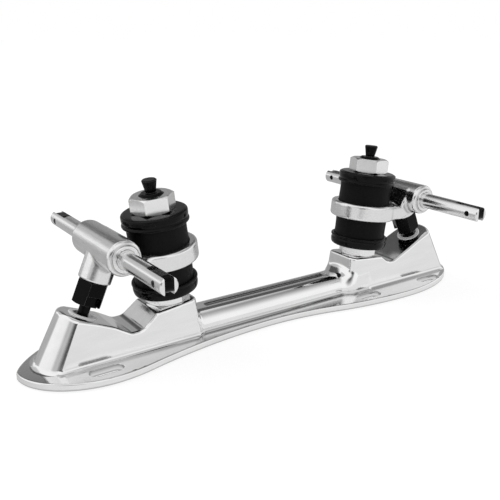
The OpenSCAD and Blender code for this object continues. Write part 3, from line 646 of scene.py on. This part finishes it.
# The round of the top edge grows from the saddle to the nose, by distance across the pivot pin
TOP_EDGE_PLACES, TOP_EDGE, TOP_STEP = (-2, 5), (1.1, 1.7), 0.05
LIP_ROUND, SADDLE_ROUND, NOSE_FOOT_ROUND, FAR_OUT = 1.8, 5.0, 8.0, 60
KINGPIN_DROP, KINGPIN_HOLE, KINGPIN_EMBED = 27.0, 5.01, 14.0
CUP_HOLE, CUP_SINK = 4.71, 6.75
BOSS_INBOARD = {"rear": 9.2, "front": 10.6}
BOSS_OUTBOARD = {"rear": 9.8, "front": 8.4}
# Ramp, depth and floor of the saddle
SADDLE = {"rear": (7.0, 5.6, 4.5), "front": (4.3, 3.5, 3.9)}


def beside_kingpin(height, out):
    """A point in the side view of a truck, from its height up the kingpin and its distance out from it."""
    lean_sin, lean_cos = math.sin(KINGPIN_LEAN), math.cos(KINGPIN_LEAN)
    return Vector((height * lean_sin + out * lean_cos - KINGPIN_SETBACK, height * lean_cos - out * lean_sin))


def beside_pivot(down, across):
    """A point in the side view of a truck, from its distance down the pivot pin and across it."""
    lean_sin, lean_cos = math.sin(PIVOT_LEAN), math.cos(PIVOT_LEAN)
    return Vector((down * lean_sin + across * lean_cos, across * lean_sin - down * lean_cos))


def rounded_line(corners, steps=12):
    """An open line through (point, round) corners, as two lists."""
    points = [corners[0][0]]
    for (before, _), (here, r), (after, _) in zip(corners, corners[1:], corners[2:]):
        u, v = (before - here).normalized(), (after - here).normalized()
        half = u.angle(v) / 2
        middle = here + (u + v).normalized() * r / math.sin(half)
        first, last = here + u * r / math.tan(half), here + v * r / math.tan(half)
        points += [middle + (first.lerp(last, i / steps) - middle).normalized() * r for i in range(steps + 1)]
    points.append(corners[-1][0])
    return np.array([p.x for p in points]), np.array([p.y for p in points])


def boss_top(end):
    """The top of a boss in side view: kingpin face, ramp, saddle floor and pivot face."""
    ramp, depth, floor_run = SADDLE[end]
    lip = beside_kingpin(-KINGPIN_DROP, BOSS_OUTBOARD[end])
    low = lip + Vector((ramp, -depth))
    return rounded_line([
        (beside_kingpin(-KINGPIN_DROP, -FAR_OUT), 0),
        (lip, LIP_ROUND),
        (low, SADDLE_ROUND),
        (low + Vector((floor_run, 0)), SADDLE_ROUND),
        (beside_pivot(PIVOT_DROP[end], -NOSE_R), NOSE_FOOT_ROUND),
        (beside_pivot(PIVOT_DROP[end], FAR_OUT), 0),
    ])


BOSS_TOP = {end: boss_top(end) for end in ENDS}
BOSS_END = {end: beside_kingpin(-KINGPIN_DROP, -BOSS_INBOARD[end]) for end in ENDS}


def boss(end, x, y, z):
    """The boss of one end, down to the boot face."""
    out, up = truck_coordinates(end, x, z)
    side = np.abs(y)
    walls = (side - WALL_FOOT + (z - FLANGE_T) * math.tan(WALL_DRAFT)) * math.cos(WALL_DRAFT)
    inboard = (BOSS_END[end].x - (BOSS_END[end].y - up) * math.tan(END_DRAFT) - out) * math.cos(END_DRAFT)
    down, across, _ = along_pivot(out, up, side)
    block = shared(walls, inboard, BOSS_CORNER)
    block = shared(block, across - WALL_REACH, WALL_EDGE)
    from_axis = np.hypot(across, side * NOSE_SQUEEZE)
    nose = (from_axis - NOSE_R - (down - PIVOT_DROP[end]) * math.tan(NOSE_DRAFT)) * math.cos(NOSE_DRAFT)
    body = np.minimum(block, shared(nose, walls, NOSE_EDGE))
    line_out, line_up = BOSS_TOP[end]
    top = np.interp(out, line_out, line_up)
    rise = (np.interp(out + TOP_STEP, line_out, line_up) - top) / TOP_STEP
    edge = np.interp(across, TOP_EDGE_PLACES, TOP_EDGE)
    return shared(body, (up - top) / np.hypot(1, rise), edge)


def boss_holes(end, x, y, z):
    """The holes for the kingpin and the pivot cup."""
    out, up = truck_coordinates(end, x, z)
    height, from_kingpin = along_kingpin(out, up, y)
    down, _, from_pivot = along_pivot(out, up, y)
    kingpin_hole = np.maximum(from_kingpin - KINGPIN_HOLE, -KINGPIN_DROP - KINGPIN_EMBED - height)
    cup_hole = np.maximum(from_pivot - CUP_HOLE, down - PIVOT_DROP[end] - CUP_SINK)
    return np.minimum(kingpin_hole, cup_hole)


for end in ENDS:
    print(end, "boss starts", round(BOSS_END[end].x, 1), "mm from its axle")

# %% Spine and the whole plate
SPINE_TOP, SPINE_TOP_HALF, SPINE_FOOT_HALF = 11.5, 4.8, 8.4
SPINE_BULGE, SPINE_SHOULDER, SPINE_INTO_BOSS = 1.3, 1.2, 6
SPINE_ENDS = [AXLE_X[end] + OUTBOARD[end] * BOSS_END[end].x for end in ENDS]
SPINE_MIDDLE = sum(SPINE_ENDS) / 2
SPINE_HALF = (SPINE_ENDS[1] - SPINE_ENDS[0]) / 2
PANEL_HALF, PANEL_HALF_WIDTH = SPINE_HALF - 8.6, 2.1
PANEL_CORNER, PANEL_DEPTH, PANEL_EDGE = 1.7, 1.0, 0.25
FOOT_FILLET = 1.6
SPINE_FILLET = {"rear": 2.6, "front": 5.5}
# Painted shade on the plate: along the lower rim, down the slots' walls and on the panel's walls.
RIM_SHADE, RIM_FADE = 0.8, 1.2
SLOT_SHADE, SLOT_FADE, SLOT_SHADE_DEPTH = 0.5, 0.3, 1.5
PANEL_FADE = 0.4
PLATE_VOXEL = 0.7


def spine(x, side, z):
    """The spine: bulging flanks under a flat top with rounded shoulders."""
    foot, top = Vector((SPINE_FOOT_HALF, FLANGE_T)), Vector((SPINE_TOP_HALF, SPINE_TOP))
    chord = (foot - top).length
    flank_r = chord ** 2 / (8 * SPINE_BULGE) + SPINE_BULGE / 2
    out = Vector((top.y - foot.y, foot.x - top.x)).normalized()
    middle = (foot + top) / 2 + out * (SPINE_BULGE - flank_r)
    flank = np.hypot(side - middle.x, z - middle.y) - flank_r
    body = shared(flank, z - SPINE_TOP, SPINE_SHOULDER)
    return np.maximum(body, np.abs(x - SPINE_MIDDLE) - SPINE_HALF - SPINE_INTO_BOSS)


def panel(x, side, z):
    """The sunk panel in the spine's top."""
    run = np.maximum(np.abs(x - SPINE_MIDDLE) - PANEL_HALF + PANEL_CORNER, 0)
    across = np.maximum(side - PANEL_HALF_WIDTH + PANEL_CORNER, 0)
    return np.maximum(np.hypot(run, across) - PANEL_CORNER, SPINE_TOP - PANEL_DEPTH - z)


def plate_shape(points):
    x, y, z = points.T
    side = np.abs(y)
    edge = flange_edge(x, y)
    flange = shared(edge, np.abs(z - FLANGE_T / 2) - FLANGE_T / 2, RIM_ROUND)
    body = spine(x, side, z)
    for end in ENDS:
        body = joined(body, boss(end, x, y, z), SPINE_FILLET[end])
    body = np.maximum(joined(body, flange, FOOT_FILLET), np.maximum(edge, -z))
    body = shared(body, -slot_distance(x, y), SLOT_ROUND)
    body = shared(body, -panel(x, side, z), PANEL_EDGE)
    for end in ENDS:
        body = np.maximum(body, -boss_holes(end, x, y, z))
    return body


def plate_painted_shade(points):
    """Painted shade on the lower rim of the flange, the upper part of the slots' walls and the walls of the
    panel.
    """
    x, y, z = points.T
    rim = RIM_SHADE - z / RIM_FADE
    in_slot = np.clip(1.5 - slot_distance(x, y) / SLOT_FADE, 0, SLOT_SHADE) * (z < FLANGE_T - 0.1)
    slot_wall = in_slot * np.clip(1.4 - (FLANGE_T - z) / SLOT_SHADE_DEPTH, 0, 1)
    along_panel = np.clip(PANEL_HALF - np.abs(x - SPINE_MIDDLE), 0, 1) * (z > FLANGE_T + 4)
    at_wall = np.abs(np.abs(y) - PANEL_HALF_WIDTH) < PANEL_FADE
    panel_wall = at_wall * along_panel * np.clip((SPINE_TOP - z) / PANEL_FADE, 0, 1)
    return np.maximum(rim, np.maximum(slot_wall, panel_wall))


plate_skin = cast_skin("plate_casting", "base_plate", plate_shape, PLATE_VOXEL, plate_painted_shade)
plate_skin.data.materials.clear()
plate_skin.data.materials.append(FINISHES["polished_aluminium"])
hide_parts("base_plate")
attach(plate_skin, "plate")

# %% [markdown]
# ## The hangers
# A hanger is a satin casting: a tube for the axle, a ring between the cushions, a neck that joins them and a
# boss for the pivot pin. It is skinned in the same way. The pivot boss meets the tube in a crisp line, as the
# real one is turned there, while the neck runs into the ring and the tube with soft fillets.

# %% Hangers
TUBE_R, TUBE_HALF, TUBE_ROUND = 7.0, 18.1, 1.8
SHOULDER_R, SHOULDER_H = 5.3, 0.8
RING_R, RING_HALF, RING_ROUND, RING_BORE = 15.4, 3.75, 1.3, 6.5
RING_MIDDLE = {"rear": -6.05, "front": -4.75}
SEAT_R, SEAT_DEPTH = 12.35, 0.6
NECK_HALF, NECK_RISE = 12.5, 4.2
PIVOT_BOSS_R, PIVOT_PIN_R, PIVOT_PIN_TOP = 6.5, 3.01, 4.75
PIVOT_BOSS_DROP = {"rear": 13.7, "front": 12.1}
AXLE_BORE = 3.76
CRISP, SOFT = 0.35, 1.4
SHOULDER_ROUND, PIVOT_BOSS_ROUND, NECK_ROUND, SEAT_ROUND, BORE_ROUND = 0.4, 0.8, 1.2, 0.3, 0.4
NECK_INSET, NECK_OVERLAP = 0.5, 1
HANGER_VOXEL = 0.6


def neck_side(end):
    """The neck in side view."""
    low = RING_MIDDLE[end] - RING_HALF + NECK_INSET
    high = RING_MIDDLE[end] + RING_HALF - NECK_INSET
    return [
        tuple(beside_kingpin(low, RING_BORE + NECK_OVERLAP)),
        tuple(beside_kingpin(low, RING_R - NECK_OVERLAP)),
        (0, -TUBE_R),
        (0, NECK_RISE),
        (-math.sqrt(TUBE_R ** 2 - NECK_RISE ** 2), NECK_RISE),
        tuple(beside_kingpin(high, SEAT_R + NECK_OVERLAP)),
        tuple(beside_kingpin(high, RING_BORE + NECK_OVERLAP)),
    ]


def hanger_shape(end):
    neck_corners = neck_side(end)

    def shape(points):
        out, up = truck_coordinates(end, points[:, 0], points[:, 2])
        side = np.abs(points[:, 1])
        height, from_kingpin = along_kingpin(out, up, side)
        down, _, from_pivot = along_pivot(out, up, side)
        from_axle = np.hypot(out, up)
        from_middle = np.abs(height - RING_MIDDLE[end])
        tube = shared(from_axle - TUBE_R, side - TUBE_HALF, TUBE_ROUND)
        shoulder = shared(from_axle - SHOULDER_R, side - TUBE_HALF - SHOULDER_H, SHOULDER_ROUND)
        tube = joined(tube, shoulder, SHOULDER_ROUND)
        boss_ends = np.maximum(down - PIVOT_BOSS_DROP[end], -down)
        pivot_boss = shared(from_pivot - PIVOT_BOSS_R, boss_ends, PIVOT_BOSS_ROUND)
        ring = shared(from_kingpin - RING_R, from_middle - RING_HALF, RING_ROUND)
        neck = shared(outline_distance(neck_corners, out, up), side - NECK_HALF, NECK_ROUND)
        body = joined(joined(tube, pivot_boss, CRISP), joined(ring, neck, SOFT), SOFT)
        seats = np.maximum(from_kingpin - SEAT_R, RING_HALF - SEAT_DEPTH - from_middle)
        body = shared(body, -seats, SEAT_ROUND)
        body = shared(body, RING_BORE - from_kingpin, BORE_ROUND)
        pin_hole = np.maximum(from_pivot - PIVOT_PIN_R, PIVOT_PIN_TOP - down)
        return np.maximum(body, np.maximum(AXLE_BORE - from_axle, -pin_hole))

    return shape


for end in ENDS:
    hanger_skin = cast_skin(end + "_hanger_casting", end + "_hanger", hanger_shape(end), HANGER_VOXEL)
    hanger_skin.data.materials.clear()
    hanger_skin.data.materials.append(FINISHES["satin_aluminium"])
    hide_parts(end + "_hanger")
    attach(hanger_skin, end + "_truck")

# %% [markdown]
# ## Cushions and cups
# The cushions are moulded urethane rings and the cups are pressed from sheet. All are turned shapes, so each
# starts as a section drawn beside the kingpin. Bevelled corners give it its rounds, and a full spin makes the
# ring. A cushion is squeezed between the plate and the hanger.

# %% Turned rings
SPIN_STEPS, LONGEST_EDGE, RING_WELD = 96, 0.6, 0.001


def turned_ring(name, section, place):
    """A ring from a section of (radius, height, round) corners in mm, spun about the Z axis of place."""
    bm = bmesh.new()
    corners = [bm.verts.new((radius * MM, 0, height * MM)) for radius, height, _ in section]
    for a, b in zip(corners, corners[1:] + corners[:1]):
        bm.edges.new((a, b))
    for corner, (_, _, size) in zip(corners, section):
        if size > 0:
            bmesh.ops.bevel(
                bm, geom=[corner], offset=size * MM, offset_type="OFFSET", affect="VERTICES", segments=5,
                profile=0.5, material=-1)
    long_edges = [edge for edge in bm.edges if edge.calc_length() > LONGEST_EDGE * MM]
    bmesh.ops.bisect_edges(bm, edges=long_edges, cuts=3)
    bmesh.ops.spin(
        bm, geom=bm.verts[:] + bm.edges[:], cent=(0, 0, 0), axis=(0, 0, 1), angle=math.tau, steps=SPIN_STEPS,
        use_merge=True)
    bmesh.ops.remove_doubles(bm, verts=bm.verts, dist=RING_WELD * MM)
    bmesh.ops.recalc_face_normals(bm, faces=bm.faces)
    bmesh.ops.transform(bm, matrix=place, verts=bm.verts)
    mesh = bpy.data.meshes.new(name)
    bm.to_mesh(mesh)
    bm.free()
    mesh.shade_smooth()
    ring = bpy.data.objects.new(name, mesh)
    scene.collection.objects.link(ring)
    print(name, "faces:", len(mesh.polygons))
    return ring


# %% Cups
CUP_R, CUP_SIDE_R, CUP_INSIDE_R, CUP_BORE = 13.65, 13.0, 12.35, 5.05
CUP_FLAT_R, CUP_STEP, CUP_SHOULDER_R = 12.4, 0.3, 13.45
CUP_FLOOR, CUP_HEIGHT, CUP_LIP = 1.5, 5.2, 1.2
LOWER_CUP_ROUND, UPPER_CUP_ROUND = 2.3, 0.8
LOWER_CUP_FOOT = -22.6
UPPER_CUP_TOP = {"rear": 11.6, "front": 13.3}


def cup_section(floor_round):
    """Section of a cup with its floor at 0 and its lip up."""
    lip_foot = CUP_HEIGHT - CUP_LIP
    return [
        (CUP_BORE, 0, 0),
        (CUP_FLAT_R, 0, 0.1),
        (CUP_FLAT_R + 0.25, CUP_STEP, 0.1),
        (CUP_SHOULDER_R, CUP_STEP, floor_round),
        (CUP_SHOULDER_R, lip_foot - 1.2, 0.5),
        (CUP_SIDE_R, lip_foot - 0.4, 0.3),
        (CUP_R, lip_foot + 0.1, 0.4),
        (CUP_R, CUP_HEIGHT, 0.6),
        (CUP_INSIDE_R, CUP_HEIGHT, 0.15),
        (CUP_INSIDE_R, CUP_FLOOR, 1.5),
        (CUP_BORE, CUP_FLOOR, 0),
    ]


for end in ENDS:
    foot = kingpin_place(end) @ Matrix.Translation((0, 0, LOWER_CUP_FOOT * MM))
    top = kingpin_place(end) @ Matrix.Translation((0, 0, UPPER_CUP_TOP[end] * MM))
    top = top @ Matrix.Rotation(math.pi, 4, "X")
    lower = turned_ring(end + "_lower_cup_ring", cup_section(LOWER_CUP_ROUND), foot)
    upper = turned_ring(end + "_upper_cup_ring", cup_section(UPPER_CUP_ROUND), top)
    for cup, node, body in ((lower, "_lower_cup", "plate"), (upper, "_upper_cup", end + "_retainer")):
        cup.data.materials.append(FINISHES["black_cup"])
        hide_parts(end + node)
        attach(cup, body)

# %% Cushions
CUSHION_R, CUSHION_BORE, CUSHION_HOLLOW = 12.2, 5.45, 0.2
SEAT_OF = {"lower": SEAT_DEPTH - RING_HALF, "upper": RING_HALF - SEAT_DEPTH}


def cushion_section(height):
    """Section of a cushion that stands in its cup at height 0."""
    return [
        (CUSHION_BORE, 0, 0),
        (CUSHION_R, 0, 1.8),
        (CUSHION_R, 3.6, 0.2),
        (CUSHION_R - CUSHION_HOLLOW, height / 2, 3.0),
        (CUSHION_R, height - 2.5, 0.2),
        (CUSHION_R, height, 0.3),
        (CUSHION_BORE, height, 0),
    ]


for end in ENDS:
    for which in ("lower", "upper"):
        cup_end = LOWER_CUP_FOOT + CUP_FLOOR if which == "lower" else UPPER_CUP_TOP[end] - CUP_FLOOR
        seat_end = RING_MIDDLE[end] + SEAT_OF[which]
        place = kingpin_place(end) @ Matrix.Translation((0, 0, cup_end * MM))
        if which == "upper":
            place = place @ Matrix.Rotation(math.pi, 4, "X")
        height = abs(seat_end - cup_end)
        ring = turned_ring(end + "_" + which + "_cushion_ring", cushion_section(height), place)
        ring.data.materials.append(FINISHES["black_urethane"])
        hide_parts(end + "_" + which + "_cushion")
        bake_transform(ring)

# %% [markdown]
# ## Finishes of the CAD nodes
# The nuts, pins, axles and locks are right as the CAD has them, so they stay and only get their finish. New
# meshes could only repeat them. A node is matched by the longest ending of its name that the table knows.

# %% Finish the CAD nodes
FINISH_OF = {
    "base_plate": "polished_aluminium",
    "hanger": "satin_aluminium",
    "axle": "polished_steel",
    "nut": "bright_zinc",
    "pivot_nut": "black_steel",
    "pivot_pin": "black_steel",
    "kingpin": "black_steel",
    "toggle": "black_steel",
    "toggle_pins": "black_steel",
    "lower_cup": "black_cup",
    "upper_cup": "black_cup",
    "cushion": "black_urethane",
    "pivot_cup": "grey_nylon",
}
for node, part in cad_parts.items():
    kinds = [kind for kind in FINISH_OF if node.endswith(kind)]
    part.data.materials.clear()
    part.data.materials.append(FINISHES[FINISH_OF[max(kinds, key=len)]])
print("CAD nodes with a finish:", len(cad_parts))
